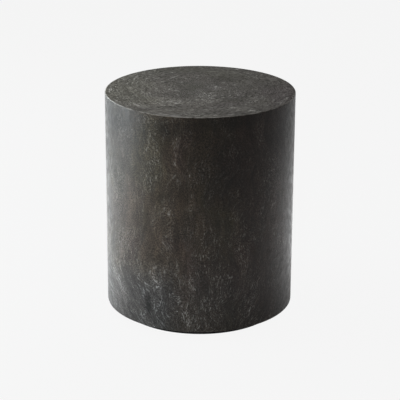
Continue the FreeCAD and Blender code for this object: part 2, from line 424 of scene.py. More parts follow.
TOP_CALM = (
    Spot(0.140, 0.030, 0.050, 0.100, 0.0, 0.7),
    Spot(-0.010, 0.155, 0.080, 0.020, 0.0, 0.6),
    Spot(0.010, 0.090, 0.050, 0.040, 0.0, 0.6),
    Spot(-0.130, 0.010, 0.040, 0.060, 0.0, 0.5),
    Spot(0.060, 0.090, 0.040, 0.030, 0.0, 0.7),
    Spot(-0.020, -0.120, 0.040, 0.020, 0.0, 0.6),
    Spot(-0.106, -0.078, 0.036, 0.026, 0.0, 0.55),
)
# The top's darker and lighter places. The lighter left half and the lighter band inside the front rim are
# painted light; the other spots darken or lighten it in patches.
TOP_STAIN_SHADE_AND_LIGHT = (
    Spot(0.150, 0.030, 0.020, 0.040, 0.0, 0.05),
    Spot(0.060, 0.090, 0.040, 0.030, 0.0, 0.15),
    Spot(0.000, 0.187, 0.140, 0.006, 0.0, 0.15),
    Spot(0.000, -0.186, 0.110, 0.014, 0.0, -0.5),
    Spot(-0.105, -0.156, 0.060, 0.014, -35.0, -0.35),
    Spot(0.105, -0.156, 0.060, 0.014, 35.0, -0.35),
    Spot(-0.045, -0.148, 0.085, 0.024, -15.0, -0.4),
    Spot(-0.130, 0.000, 0.085, 0.120, 0.0, -0.58),
    Spot(-0.090, -0.090, 0.075, 0.038, -25.0, -0.5),
    Spot(-0.005, -0.088, 0.060, 0.034, 0.0, -0.42),
    Spot(0.000, 0.120, 0.120, 0.060, 0.0, -0.08),
)

# How the grain wanders on the sheet and on the rings, and how ragged the spots of lime are
SHEET_DRAW = Drift(Noise((7.0, 5.0, 1.0), 1.0), (0.10, 0.03, 0.0))
SHEET_CURL = Drift(Noise((26.0, 20.0, 1.0), 1.0, seed=2.7), (0.030, 0.022, 0.0))
RING_DRAW = Drift(Noise((9.0, 9.0, 1.0), 1.0), (0.05, 0.05, 0.0))
SPOT_FRAY = Drift(Noise((60.0, 45.0, 1.0), 1.0, seed=4.4), (0.008, 0.010, 0.0))

# How the stain, the crowds of lime, the wax, and the wear and painted highlight of the rim vary
HUES = Noise((9.0, 5.0, 5.0), seed=3.1)
DRIFTS = Noise((24.0, 9.0, 9.0), 3.0, 0.6, 5.7)
PATCHES = Noise((85.0, 34.0, 34.0), rough=0.6, seed=6.8)
STREAKS = Noise((170.0, 16.0, 16.0), rough=0.6, seed=2.3)
CROWDS = Noise((26.0, 10.0, 10.0), seed=7.9, band=(0.4, 0.66))
WAX = Noise((95.0, 60.0, 60.0), rough=0.6, seed=8.3, band=(0.35, 0.65))
RIM_WEAR_AND_HIGHLIGHT = Noise((60.0, 60.0, 60.0), 3.0, 0.6, 1.9, (0.3, 0.65))


class Finish(ABC):
    """A finish: each kind says what its surface shows, and all become a material alike."""

    @abstractmethod
    def surface(self, graph: Graph, place: Socket) -> dict[str, Socket | float]:
        """Lays out what the surface shows.

        Args:
            graph: The material's graph.
            place: The place on the piece, in metres.

        Returns:
            What the shader's inputs get, by their names.
        """

    def material(self, name: str) -> bpy.types.Material:
        """Makes a material of the finish."""
        graph = Graph.of_material(name)
        return graph.finish(graph.node("BsdfPrincipled", self.surface(graph, graph.place())))


@dataclass(frozen=True)
class LimedTimber(Finish):
    """Charcoal-stained open-grain timber, limed in its pores and waxed.

    Attributes:
        grain: How the grain runs.
        flecked: The places where lime flecks crowd.
        calm: The places that have few of them.
        stain_shade_and_light: The places where the face is darker, or lighter where the strength is below 0:
            partly heavier and thinner stain, partly painted shade and painted light.
        pores: How many pores there are to a metre, across the grain and along it.
        least_crowd: How thickly the flecks lie between the crowds.
        most_crowd: How thickly they lie in the crowds that no spot marks.
        foot_crowd_and_light: How much thicker they lie towards the foot: partly more lime, partly painted
            light that lifts the foot as the floor's light would.
        crowd_heights: The heights between which they thicken.
        contrast: How much darker the stain is in the grain, and lighter beside it.
        patched: How much the drifts and patches of stain differ.
        streaked: How much the streaks along the grain differ.
        stroke_length: How many times longer than the pores the lime strokes are drawn.
        limed: How strongly the lime shows.
        gloss: How strongly the wax reflects.
        roughness: The wax's roughness over bare and over limed grain.
        wax_spread: How much smoother and rougher it is from place to place.
        relief: The depth of the open grain.
        rim: The radius and height of the rim's crest, where a pale line is painted: partly wear, partly the
            rim's painted highlight.
        rim_round: The rim's rounding.
        rim_wear_and_highlight: How pale the crest is, with its wear and painted highlight, where least and
            where most.
        pith: Where the rings' middle is, along X and Y.
        brown: The stain's main colour.
        olive: Its greener drifts.
        plum: Its redder drifts.
        slate: What it turns to at the left foot and the sides.
        lime: The lime's colour.
        cool_lime: What the lime turns to there.
        fan_centre: Where the grain at the foot fans out from.
        fan_lean: How far it leans away from there.
        fan_heights: The heights between which the lean eases off.
        slate_heights: The heights between which slate sets in.
        slate_sides: The places across between which it falls from the left foot's share to the right's.
        slate_shares: Those two shares.
        sheen_tint_sides: The distances from the front between which the sides turn slate, a painted tint of
            the neutral sheen there.
        sheen_tint_share: How far they turn.
        plum_sides: The places across between which plum grows.
        plum_shifts: How far the hue is shifted left and right of them, towards plum below 0.
    """

    grain: Grain
    flecked: tuple[Spot, ...]
    calm: tuple[Spot, ...]
    stain_shade_and_light: tuple[Spot, ...]
    pores: Pair = (520.0, 330.0)
    least_crowd: float = 0.0
    most_crowd: float = 0.8
    foot_crowd_and_light: float = 0.0
    crowd_heights: Pair = (0.2, 0.06)
    contrast: float = 0.65
    patched: float = 0.25
    streaked: float = 0.2
    stroke_length: float = 2.4
    limed: float = 1.0
    gloss: float = 0.12
    roughness: Pair = (0.38, 0.5)
    wax_spread: Pair = (-0.06, 0.08)
    relief: float = 0.2 * MM
    rim: Pair = (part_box("side_facing")[1].x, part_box("top_facing")[1].z)
    rim_round: float = 2.0 * MM
    rim_wear_and_highlight: Pair = (0.1, 0.6)
    pith: Pair = (-0.004, 0.012)
    brown: Colour = srgb(42, 32, 22)
    olive: Colour = srgb(44, 37, 23)
    plum: Colour = srgb(43, 30, 24)
    slate: Colour = srgb(38, 35, 34)
    lime: Colour = srgb(154, 149, 141)
    cool_lime: Colour = srgb(149, 149, 148)
    fan_centre: float = -0.008
    fan_lean: float = 0.8
    fan_heights: Pair = (0.01, 0.15)
    slate_heights: Pair = (0.18, 0.09)
    slate_sides: Pair = (-0.075, -0.03)
    slate_shares: Pair = (0.9, 0.35)
    sheen_tint_sides: Pair = (0.09, 0.21)
    sheen_tint_share: float = 0.55
    plum_sides: Pair = (-0.03, 0.15)
    plum_shifts: Pair = (0.0, 0.0)

    def surface(self, graph: Graph, place: Socket) -> dict[str, Socket | float]:
        """Lays out what the surface shows, layer by layer."""
        return LimedSurface(self, graph, place).inputs()


@dataclass(frozen=True)
class PoreLayer:
    """One layer of marks in the pores.

    Attributes:
        finer: How many times finer than the pores it is.
        detail: How many finer layers are added.
        seed: A shift that gives another pattern of the same kind.
        band: The two values between which it is eased.
    """

    finer: float
    detail: float
    seed: float
    band: Pair


class LimedSurface:
    """Lays out limed timber, layer by layer, on the graph of one material.

    Attributes:
        GRAIN: The open grain.
        STROKES: The long strokes of lime.
        SPECKS: The short specks of lime.
        PORE_ROUGH: How strong the finer layers of all three are.
        OLIVE_BAND: The hues between which brown turns olive.
        PLUM_BAND: The hues between which it turns plum, on the other side.
        VEIL_BAND: The grain values between which the thin veil of lime sets in.
        VEIL_LEAST: How much lime the veil has outside the crowds.
        VEIL_IN_CROWDS: How much more it has in them.
        STROKE_LIME: How much lime a stroke has.
        SPECK_LIME: How much lime a speck has.
        FULLY_LIMED: How much lime makes the surface as rough as lime.
        RING_REACH: The radius at which marks along the rings have their plain length.
    """

    GRAIN = PoreLayer(1.0, 2.0, 1.3, (0.28, 0.72))
    STROKES = PoreLayer(0.8, 1.5, 9.2, (0.56, 0.76))
    SPECKS = PoreLayer(1.1, 1.0, 6.5, (0.6, 0.78))
    PORE_ROUGH = 0.6
    OLIVE_BAND = (0.5, 0.64)
    PLUM_BAND = (0.47, 0.34)
    VEIL_BAND = (0.3, 0.78)
    VEIL_LEAST = 0.08
    VEIL_IN_CROWDS = 0.06
    STROKE_LIME = 0.5
    SPECK_LIME = 0.52
    FULLY_LIMED = 0.5
    RING_REACH = 90 * MM

    def __init__(self, finish: LimedTimber, graph: Graph, place: Socket) -> None:
        """Finds the coordinates and the grain that the layers follow.

        Args:
            finish: The finish.
            graph: The material's graph.
            place: The place on the piece, in metres.
        """
        self.finish = finish
        self.graph = graph
        self.place = place
        self.upright = finish.grain is Grain.UPRIGHT
        self.face = self._face()
        self.flow = self._sheet_flow() if self.upright else self._ring_flow()
        self.grain = self._pores(self.GRAIN)

    def _face(self) -> Socket:
        """Finds the plain coordinates in metres that the spots are placed by.

        Returns:
            The flat sheet's coordinates on the wall, and X and Y on the top.
        """
        if self.upright:
            return self.graph.node("UVMap", uv_map=SHEET_MAP).outputs[0]
        return self.graph.vector_math("MULTIPLY", self.place, LEVEL_ONLY)

    def _sheet_flow(self) -> Socket:
        """Follows the grain up the sheet, where it wanders, and fans out at the foot.

        Returns:
            The coordinates across the grain and along it.
        """
        graph, finish = self.graph, self.finish
        across, along, _ = graph.parts(graph.wander(graph.wander(self.face, SHEET_DRAW), SHEET_CURL))
        half = finish.rim[0] / 2
        turned = graph.math("DIVIDE", graph.math("SUBTRACT", across, finish.fan_centre), half)
        sway = graph.math("MULTIPLY", graph.math("SINE", turned), half)
        lean = graph.step(along, *finish.fan_heights, finish.fan_lean, 0.0)
        return graph.vector(graph.math("MULTIPLY_ADD", sway, lean, across), along)

    def _ring_flow(self) -> Socket:
        """Follows the grain round the pith.

        Returns:
            The coordinate across the grain, and two that tell the way from the pith.
        """
        graph = self.graph
        out = graph.vector_math("SUBTRACT", graph.wander(self.face, RING_DRAW), (*self.finish.pith, 0.0))
        way = graph.parts(graph.scaled(graph.vector_math("NORMALIZE", out), self.RING_REACH))
        return graph.vector(graph.length(out), way[0], way[1])

    def _pores(self, layer: PoreLayer, longer: float = 1.0) -> Socket:
        """Adds a layer as fine as the pores.

        Args:
            layer: The layer.
            longer: How many times longer it is drawn along the grain.

        Returns:
            Its plain value.
        """
        across, along = (layer.finer * value for value in self.finish.pores)
        stretched = (across, along / longer, along / longer)
        return self.graph.noise(self.flow, Noise(stretched, layer.detail, self.PORE_ROUGH, layer.seed))

    def _cooled(self, warm: Socket | Colour, cool: Colour) -> Socket | Colour:
        """Turns a colour of the wall cooler towards the left foot and towards both sides, where the cooling
        is a painted tint of the neutral sheen at grazing angles.

        Args:
            warm: The colour at the middle.
            cool: The colour that it turns to.

        Returns:
            The colour, or the warm one alone on the top.
        """
        graph, finish = self.graph, self.finish
        if not self.upright:
            return warm
        across, height, _ = graph.parts(self.face)
        low = graph.step(height, *finish.slate_heights)
        left = graph.step(across, *finish.slate_sides, *finish.slate_shares)
        # The cooler sides are a painted tint of the neutral sheen that they show at grazing angles
        aside = graph.step(graph.math("ABSOLUTE", across), *finish.sheen_tint_sides, 0.0, finish.sheen_tint_share)
        return graph.mix(graph.math("MAXIMUM", graph.math("MULTIPLY", low, left), aside), warm, cool)

    def _stain(self) -> Socket:
        """Lays the stained ground: brown, olive and plum drifts, darker in the grain, turned slate at the
        left foot and, as a painted sheen tint, at the sides.

        Returns:
            Its colour.
        """
        graph, finish = self.graph, self.finish
        hue = graph.noise(self.flow, HUES)
        if any(finish.plum_shifts):
            shift = graph.step(graph.parts(self.face)[0], *finish.plum_sides, *finish.plum_shifts)
            hue = graph.math("ADD", hue, shift)
        colour = graph.mix(graph.step(hue, *self.OLIVE_BAND), finish.brown, finish.olive)
        colour = graph.mix(graph.step(hue, *self.PLUM_BAND), colour, finish.plum)
        depth = graph.step(self.grain, *self.GRAIN.band, 1.0 - finish.contrast, 1.0 + finish.contrast)
        return graph.scaled(self._cooled(colour, finish.slate), depth)

    def _shading(self) -> Socket:
        """Shades the face from place to place: spots of stain, painted shade and painted light, then drifts,
        patches and streaks.

        Returns:
            How light it is, 1 in the middle.
        """
        graph, finish = self.graph, self.finish
        # The spots darken and lighten the colour: partly stain, partly painted shade and painted light.
        value = graph.math("SUBTRACT", 1.0, graph.spots(self.face, finish.stain_shade_and_light))
        spreads = {DRIFTS: finish.patched, PATCHES: finish.patched, STREAKS: finish.streaked}
        for pattern, spread in spreads.items():
            uneven = graph.eased(self.flow, pattern, 1.0 - spread, 1.0 + spread)
            value = graph.math("MULTIPLY", value, uneven)
        return value

    def _crowding(self) -> Socket:
        """Crowds the lime in some places and leaves others calm.

        Returns:
            How thickly it lies: 0 in the calm places and about 1 in the flecked ones.
        """
        graph, finish = self.graph, self.finish
        ragged = graph.wander(self.face, SPOT_FRAY)
        crowd = graph.eased(self.flow, CROWDS, finish.least_crowd, finish.most_crowd)
        crowd = graph.math("ADD", crowd, graph.spots(ragged, finish.flecked))
        # Thicker flecks towards the foot: partly more lime, partly painted light from the floor below
        if finish.foot_crowd_and_light:
            low = graph.step(graph.parts(self.face)[1], *finish.crowd_heights, 0.0, finish.foot_crowd_and_light)
            crowd = graph.math("ADD", crowd, low)
        calm = graph.math("SUBTRACT", 1.0, graph.spots(ragged, finish.calm))
        return graph.math("MULTIPLY", crowd, graph.math("MAXIMUM", calm, 0.0))

    def _lime(self) -> Socket:
        """Limes the pores: a thin veil all over, with strokes and specks in crowds.

        Returns:
            How much lime there is.
        """
        graph = self.graph
        crowd = self._crowding()
        veil_depth = graph.math("MULTIPLY_ADD", crowd, self.VEIL_IN_CROWDS, self.VEIL_LEAST)
        veil = graph.math("MULTIPLY", graph.step(self.grain, *self.VEIL_BAND), veil_depth)
        strokes = graph.step(self._pores(self.STROKES, self.finish.stroke_length), *self.STROKES.band)
        specks = graph.step(self._pores(self.SPECKS), *self.SPECKS.band)
        specks = graph.math("MULTIPLY", specks, self.SPECK_LIME)
        marks = graph.math("MULTIPLY_ADD", strokes, self.STROKE_LIME, specks)
        return graph.math("MULTIPLY_ADD", marks, crowd, veil)

    def _rim_wear_and_highlight(self) -> Socket:
        """Paints the crest of the rim pale, unevenly: partly wear, partly a painted highlight along the rim.

        Returns:
            How pale it is.
        """
        graph, finish = self.graph, self.finish
        radius, height = finish.rim
        outward = graph.length(graph.vector_math("MULTIPLY", self.place, LEVEL_ONLY))
        outward = graph.math("SUBTRACT", outward, radius - finish.rim_round)
        upward = graph.math("SUBTRACT", graph.parts(self.place)[2], height - finish.rim_round)
        crest = graph.step(graph.math("MINIMUM", outward, upward), 0.0, finish.rim_round / 2)
        return graph.math("MULTIPLY", crest, graph.eased(self.place, RIM_WEAR_AND_HIGHLIGHT, *finish.rim_wear_and_highlight))

    def inputs(self) -> dict[str, Socket | float]:
        """Joins the layers.

        Returns:
            What the shader's inputs get, by their names.
        """
        graph, finish = self.graph, self.finish
        # The rim's pale crest, partly wear and partly a painted highlight, lies over the lime
        lime = graph.math("MAXIMUM", graph.math("MULTIPLY", self._lime(), finish.limed), self._rim_wear_and_highlight())
        colour = graph.mix(lime, self._stain(), self._cooled(finish.lime, finish.cool_lime))
        roughness = graph.step(lime, 0.0, self.FULLY_LIMED, *finish.roughness)
        waxed = graph.eased(self.flow, WAX, *finish.wax_spread)
        return {
            "Base Color": graph.scaled(colour, self._shading()),
            "Roughness": graph.math("ADD", roughness, waxed),
            "Specular IOR Level": finish.gloss,
            "Normal": graph.bump(graph.math("MULTIPLY_ADD", lime, -1.0, self.grain), 1.0, finish.relief),
        }


@dataclass(frozen=True)
class RawTimber(Finish):
    """Bare sanded timber, as inside the drum.

    Attributes:
        pale: The early wood's colour.
        dark: The colour of the late wood and the pores.
        per_metre: How many bands there are to a metre, along X, Y and Z.
        band_edges: The values between which early wood turns to late wood.
        pores_finer: How many times finer than the bands the pores are.
        pore_edges: The values between which a pore darkens.
        pore_depth: How dark it gets.
        rough_edges: The values between which the pores roughen the surface.
        roughness: Its roughness beside them and in them.
        relief: The pores' strength and depth as a relief.
    """

    pale: Colour = srgb(205, 178, 135)
    dark: Colour = srgb(170, 135, 92)
    per_metre: Triple = (110.0, 110.0, 6.0)
    band_edges: Pair = (0.35, 0.65)
    pores_finer: float = 8.0
    pore_edges: Pair = (0.6, 0.75)
    pore_depth: float = 0.35
    rough_edges: Pair = (0.4, 0.7)
    roughness: Pair = (0.6, 0.8)
    relief: Pair = (0.2, 0.1 * MM)

    def surface(self, graph: Graph, place: Socket) -> dict[str, Socket | float]:
        """Lays out what the surface shows.

        Args:
            graph: The material's graph.
            place: The place on the piece, in metres.

        Returns:
            What the shader's inputs get, by their names.
        """
        bands = graph.eased(place, Noise(self.per_metre, 3.0, 0.6, band=self.band_edges))
        pores = graph.noise(place, Noise(tuple(self.pores_finer * value for value in self.per_metre)))
        speckle = graph.step(pores, *self.pore_edges, 0.0, self.pore_depth)
        return {
            "Base Color": graph.mix(speckle, graph.mix(bands, self.pale, self.dark), self.dark),
            "Roughness": graph.step(pores, *self.rough_edges, *self.roughness),
            "Normal": graph.bump(pores, *self.relief),
        }


@dataclass(frozen=True)
class BlackStainAndShade(Finish):
    """Board stained black and left matt, with a little of its grain showing. Its near-black colour is partly
    painted shade of the recess under the drum.

    Attributes:
        colour: The stain, darkened with painted shade.
        worn: What shows where it lies thin.
        grain: The pattern of the board's grain.
        worn_share: How far the worn colour shows at most.
        clouds: The pattern of its smoother and rougher places.
        roughness: How rough it is in them.
        gloss: How strongly it reflects.
        relief: The grain's strength and depth as a relief.
    """

    # Darker than the stain alone: partly painted shade of the recess under the drum
    colour: Colour = srgb(12, 11, 11)
    worn: Colour = srgb(30, 28, 26)
    grain: Noise = Noise((260.0, 40.0, 260.0), 3.0, 0.6, band=(0.5, 0.72))
    worn_share: float = 0.5
    clouds: Noise = Noise((14.0, 14.0, 14.0))
    roughness: Pair = (0.55, 0.75)
    gloss: float = 0.1
    relief: Pair = (0.3, 0.1 * MM)

    def surface(self, graph: Graph, place: Socket) -> dict[str, Socket | float]:
        """Lays out what the surface shows.

        Args:
            graph: The material's graph.
            place: The place on the piece, in metres.

        Returns:
            What the shader's inputs get, by their names.
        """
        grain = graph.noise(place, self.grain)
        thin = graph.step(grain, *self.grain.band, 0.0, self.worn_share)
        return {
            "Base Color": graph.mix(thin, self.colour, self.worn),
            "Roughness": graph.eased(place, self.clouds, *self.roughness),
            "Specular IOR Level": self.gloss,
            "Normal": graph.bump(grain, *self.relief),
        }


@dataclass(frozen=True)
class Nylon(Finish):
    """Moulded black nylon, lightly scuffed where it slides on the floor.

    Attributes:
        colour: The nylon.
        scuffed: The colour of its scratches.
        scratches: Their pattern.
        scuffed_share: How far they show.
        rough_edges: The values between which they roughen the surface.
        roughness: Its roughness beside them and in them.
        skin: The pattern of the moulded skin.
        relief: The skin's strength and depth as a relief.
    """

    colour: Colour = srgb(30, 30, 31)
    scuffed: Colour = srgb(70, 70, 70)
    scratches: Noise = Noise((180.0, 1600.0, 180.0), rough=0.6, band=(0.6, 0.72))
    scuffed_share: float = 0.4
    rough_edges: Pair = (0.4, 0.7)
    roughness: Pair = (0.42, 0.6)
    skin: Noise = Noise((1500.0, 1500.0, 1500.0), 1.0)
    relief: Pair = (0.15, 0.05 * MM)

    def surface(self, graph: Graph, place: Socket) -> dict[str, Socket | float]:
        """Lays out what the surface shows.

        Args:
            graph: The material's graph.
            place: The place on the piece, in metres.

        Returns:
            What the shader's inputs get, by their names.
        """
        scratches = graph.noise(place, self.scratches)
        pale = graph.step(scratches, *self.scratches.band, 0.0, self.scuffed_share)
        return {
            "Base Color": graph.mix(pale, self.colour, self.scuffed),
            "Roughness": graph.step(scratches, *self.rough_edges, *self.roughness),
            "Normal": graph.bump(graph.noise(place, self.skin), *self.relief),
        }


@dataclass(frozen=True)
class ZincPlate(Finish):
    """Bright zinc-plated steel, as on wood screws.

    Attributes:
        colour: The plating.
        dull: Its colour where it is tarnished.
        tarnish: The pattern of the tarnish.
        rough_edges: The values between which it roughens the surface.
        roughness: Its roughness beside it and in it.
    """

    colour: Colour = srgb(196, 194, 186)
    dull: Colour = srgb(150, 148, 138)
    tarnish: Noise = Noise((500.0, 500.0, 500.0), 3.0, band=(0.4, 0.65))
    rough_edges: Pair = (0.35, 0.65)
    roughness: Pair = (0.26, 0.42)

    def surface(self, graph: Graph, place: Socket) -> dict[str, Socket | float]:
        """Lays out what the surface shows.

        Args:
            graph: The material's graph.
            place: The place on the piece, in metres.

        Returns:
            What the shader's inputs get, by their names.
        """
        tarnish = graph.noise(place, self.tarnish)
        dulled = graph.step(tarnish, *self.tarnish.band)
        return {
            "Base Color": graph.mix(dulled, self.colour, self.dull),
            "Metallic": 1.0,
            "Roughness": graph.step(tarnish, *self.rough_edges, *self.roughness),
        }


@dataclass
class Outline:
    """The closed outline of a turned piece: radius and height, point by point.

    Attributes:
        points: The points so far.
    """

    points: list[Pair] = field(default_factory=list)

    def line(self, radius: float, height: float, step: float | None = None) -> "Outline":
        """Runs straight to a point.

        Args:
            radius: The point's distance from the axis.
            height: The point's height.
            step: The longest stretch without a point on the way, or None for no such points.

        Returns:
            The outline itself.
        """
        if self.points and step:
            here = Vector(self.points[-1])
            there = Vector((radius, height))
            parts = math.ceil((there - here).length / step)
            self.points += [tuple(here.lerp(there, i / parts)) for i in range(1, parts)]
        self.points.append((radius, height))
        return self

    def arc(self, centre: Pair, size: float, start: float, end: float, parts: int) -> "Outline":
        """Runs round part of a circle.

        Args:
            centre: The circle's centre.
            size: The circle's radius.
            start: The angle that it starts at, from the outward direction towards up.
            end: The angle that it ends at.
            parts: How many short edges stand for it.

        Returns:
            The outline itself.
        """
        for i in range(parts + 1):
            angle = math.radians(start + (end - start) * i / parts)
            self.points.append((centre[0] + size * math.cos(angle), centre[1] + size * math.sin(angle)))
        return self


def clear_bench() -> None:
    """Leaves edit mode and deselects everything."""
    if bpy.context.object and bpy.context.object.mode == "EDIT":
        bpy.ops.object.mode_set(mode="OBJECT")
    bpy.ops.object.select_all(action="DESELECT")


def hold(*pieces: bpy.types.Object) -> None:
    """Selects pieces alone and makes the first one active.

    Args:
        *pieces: The pieces.
    """
    clear_bench()
    for piece in pieces:
        piece.select_set(True)
    bpy.context.view_layer.objects.active = pieces[0]


def fix_place(piece: bpy.types.Object) -> None:
    """Puts a piece's place into its mesh."""
    hold(piece)
    bpy.ops.object.transform_apply(location=True, rotation=True, scale=True)


def finish_with(piece: bpy.types.Object, kind: str, **settings) -> None:
    """Adds a modifier to a piece and applies it.

    Args:
        piece: The piece.
        kind: The modifier's Blender type.
        **settings: The modifier's properties.
    """
    hold(piece)
    modifier = piece.modifiers.new(kind.lower(), kind)
    for name, value in settings.items():
        setattr(modifier, name, value)
    bpy.ops.object.modifier_apply(modifier=modifier.name)


def settle(piece: bpy.types.Object, sharp: float = 35.0) -> None:
    """Puts a piece's place into its mesh, merges its doubles, turns its faces out and smooths it.

    Args:
        piece: The piece.
        sharp: Edges that turn by more than this angle stay sharp.
    """
    fix_place(piece)
    bpy.ops.object.mode_set(mode="EDIT")
    bpy.ops.mesh.select_all(action="SELECT")
    bpy.ops.mesh.remove_doubles(threshold=MERGED)
    bpy.ops.mesh.normals_make_consistent(inside=False)
    bpy.ops.object.mode_set(mode="OBJECT")
    bpy.ops.object.shade_smooth_by_angle(angle=math.radians(sharp))
    clear_bench()


def select_loose_ends(piece: bpy.types.Object) -> None:
    """Selects the two ends of an open string of edges, in edit mode.

    Args:
        piece: The piece that is edited.
    """
    bpy.ops.mesh.select_all(action="DESELECT")
    mesh = bmesh.from_edit_mesh(piece.data)
    for vertex in mesh.verts:
        vertex.select = len(vertex.link_edges) == 1
    mesh.select_flush_mode()
    bmesh.update_edit_mesh(piece.data)


def close_ends() -> None:
    """Fills the two open ends of the active piece, which was turned less than once round."""
    bpy.ops.object.mode_set(mode="EDIT")
    bpy.ops.mesh.select_mode(type="EDGE")
    bpy.ops.mesh.select_all(action="DESELECT")
    bpy.ops.mesh.select_non_manifold(extend=False)
    bpy.ops.mesh.edge_face_add()
    bpy.ops.mesh.select_mode(type="VERT")


def turn(
    name: str, outline: Outline, steps: int, start: float = 0.0, sweep: float = FULL_TURN
) -> bpy.types.Object:
    """Turns an outline about the upright axis, as on a lathe, into a closed piece.

    Args:
        name: The piece's name.
        outline: The outline, without its first point repeated.
        steps: How many sections there are in the sweep.
        start: The angle of the first section, from +X towards +Y.
        sweep: How far it is turned.

    Returns:
        The piece.
    """
    clear_bench()
    angle = math.radians(start)
    places = [Vector((r * math.cos(angle), r * math.sin(angle), z)) for r, z in outline.points]
    bpy.ops.mesh.primitive_plane_add(size=MM, location=places[0])
    piece = bpy.context.object
    piece.name = name
    fix_place(piece)
    bpy.ops.object.mode_set(mode="EDIT")
    bpy.ops.mesh.merge(type="CENTER")
    for here, there in zip(places, places[1:]):
        bpy.ops.mesh.extrude_region_move(TRANSFORM_OT_translate={"value": there - here})
    if max(outline.points[0][0], outline.points[-1][0]) > 0:
        select_loose_ends(piece)
        bpy.ops.mesh.edge_face_add()
    bpy.ops.object.mode_set(mode="OBJECT")
    finish_with(
        piece,
        "SCREW",
        angle=math.radians(sweep),
        steps=steps,
        render_steps=steps,
        use_merge_vertices=True,
        merge_threshold=MERGED,
    )
    if sweep < FULL_TURN:
        close_ends()
    settle(piece)
    return piece


def remove(*pieces: bpy.types.Object) -> None:
    """Takes helper pieces off the bench."""
    hold(*pieces)
    bpy.ops.object.delete()


def set_out(piece: bpy.types.Object, radius: float, angles: Iterable[float]) -> list[bpy.types.Object]:
    """Sets copies of a piece that stands on the axis out on a circle, and removes the first one.

    Args:
        piece: The piece that is copied.
        radius: The circle's radius.
        angles: The angle of each copy, from +X towards +Y.

    Returns:
        The copies, each with its own mesh.
    """
    copies = []
    for angle in angles:
        copy = piece.copy()
        copy.data = piece.data.copy()
        bpy.context.scene.collection.objects.link(copy)
        copy.matrix_world = Matrix.Rotation(math.radians(angle), 4, "Z") @ Matrix.Translation((radius, 0, 0))
        fix_place(copy)
        copies.append(copy)
    remove(piece)
    return copies


def cut(piece: bpy.types.Object, *cutters: bpy.types.Object) -> None:
    """Cuts helper pieces out of a piece and removes them.

    Args:
        piece: The piece.
        *cutters: The helper pieces.
    """
    for cutter in cutters:
        finish_with(piece, "BOOLEAN", object=cutter, operation="DIFFERENCE", solver="EXACT")
    remove(*cutters)


def dress(piece: bpy.types.Object, material: bpy.types.Material) -> None:
    """Gives a piece one material all over."""
    piece.data.materials.clear()
    piece.data.materials.append(material)


def seat(piece: bpy.types.Object, slot: str, *nodes: str) -> None:
    """Seats a finished piece: it rides with the table and stands for its nodes.

    Args:
        piece: The piece.
        slot: The material slot; not used.
        *nodes: The nodes that it stands for.
    """
    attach(piece, "root")
    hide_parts(*nodes)
    log.info("%s: %d faces, stands for %s", piece.name, len(piece.data.polygons), ", ".join(nodes))


